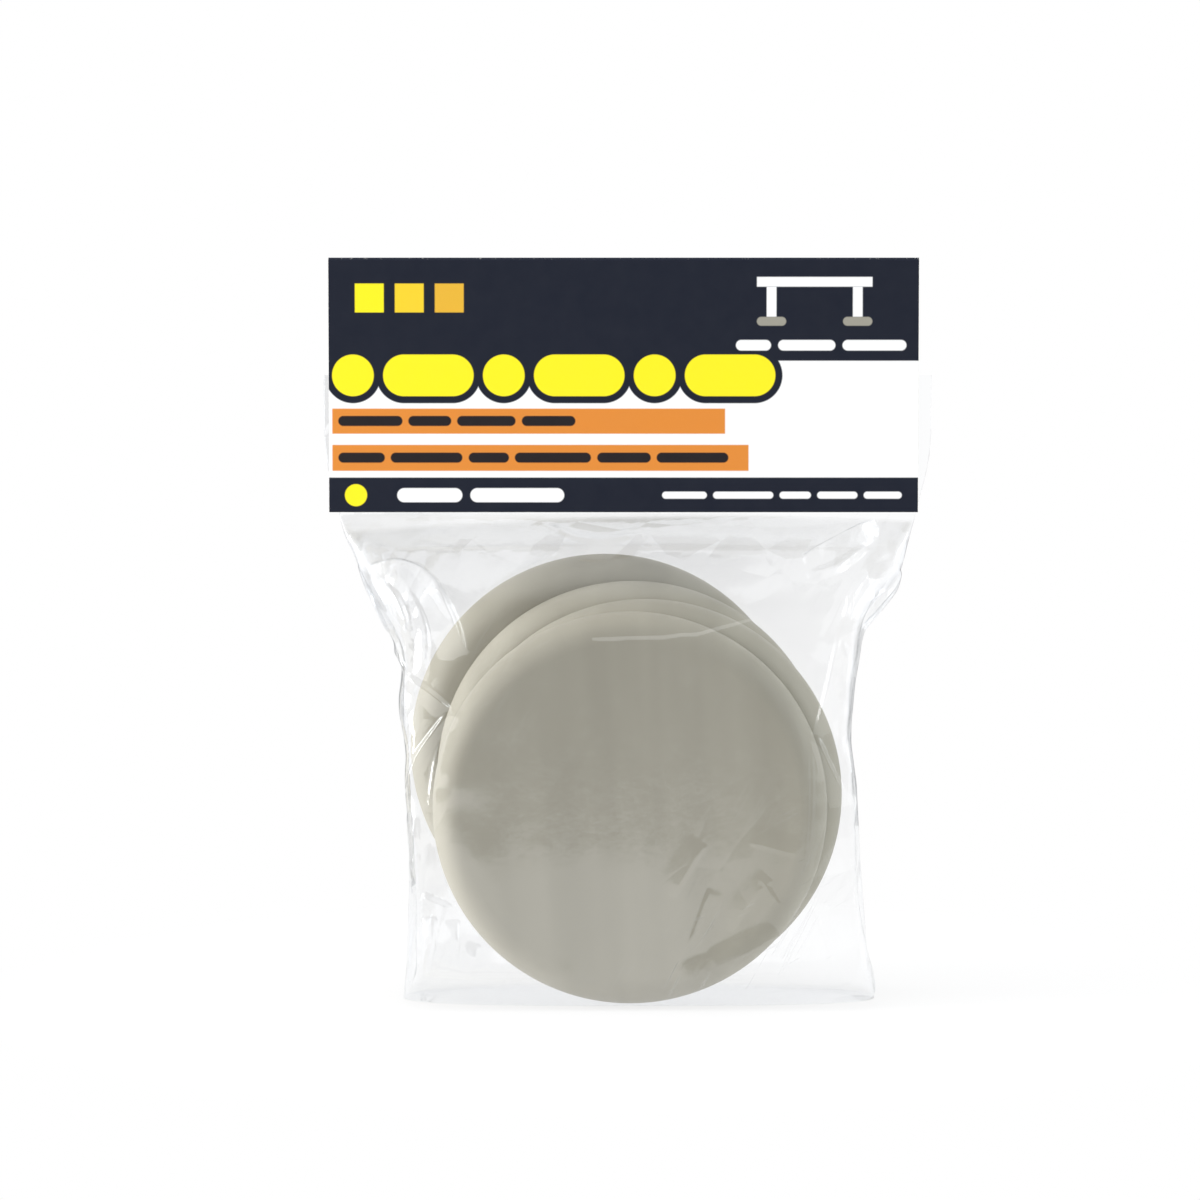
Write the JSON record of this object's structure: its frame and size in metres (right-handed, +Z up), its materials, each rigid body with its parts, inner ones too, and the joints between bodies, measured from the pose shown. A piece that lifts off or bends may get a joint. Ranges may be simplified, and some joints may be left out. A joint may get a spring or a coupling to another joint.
{
  "type": "bagged furniture slider set",
  "caption": "Clear film bag of stacked round furniture sliders with slick moulded faces and foam grip pads, closed by a folded card header that swings on the film neck.",
  "frame": {"origin": "under the middle of the bag, on the flat base that the pack stands on", "axes": "+Z up along the pack's height to the header's fold, +X to the right across the card, -Y out of the front"},
  "size_m": [0.138, 0.0362, 0.1685],
  "materials": {
    "glide_plastic": "smooth satin moulded plastic, warm grey",
    "pad_adhesive": "thin double-sided adhesive film",
    "grip_foam": "closed-cell foam, dark brown-grey",
    "bag_film": "clear glossy film",
    "header_card": "printed card, satin coated",
    "sticky_tape": "thin sticky tape"
  },
  "bodies": {
    "bag": {"bag_front_panel": "bag_film", "bag_back_panel": "bag_film", "bag_base_panel": "bag_film"},
    "header": {"header_card": "header_card", "header_tape_front": "sticky_tape", "header_tape_back": "sticky_tape", "bag_mouth_front": "bag_film", "bag_mouth_back": "bag_film"},
    "slider_1": {"glide_shell_1": "glide_plastic", "pad_adhesive_1": "pad_adhesive", "grip_pad_1": "grip_foam"},
    "slider_2": {"glide_shell_2": "glide_plastic", "pad_adhesive_2": "pad_adhesive", "grip_pad_2": "grip_foam"},
    "slider_3": {"glide_shell_3": "glide_plastic", "pad_adhesive_3": "pad_adhesive", "grip_pad_3": "grip_foam"},
    "slider_4": {"glide_shell_4": "glide_plastic", "pad_adhesive_4": "pad_adhesive", "grip_pad_4": "grip_foam"}
  },
  "joints": [
    {"name": "slider_1_shift", "type": "slide", "parent": "bag", "child": "slider_1", "axis": [0, 0, 1], "range_m": [0, 0.006]},
    {"name": "slider_2_shift", "type": "slide", "parent": "bag", "child": "slider_2", "axis": [0, 0, 1], "range_m": [-0.0018, 0.005]},
    {"name": "slider_3_shift", "type": "slide", "parent": "bag", "child": "slider_3", "axis": [0, 0, 1], "range_m": [-0.0049, 0.005]},
    {"name": "slider_4_shift", "type": "slide", "parent": "bag", "child": "slider_4", "axis": [0, 0, 1], "range_m": [-0.0099, 0.002]},
    {"name": "header_swing", "type": "hinge", "parent": "bag", "child": "header", "pos_m": [0, 0, 0.111], "axis": [1, 0, 0], "range_deg": [-25, 25]}
  ]
}
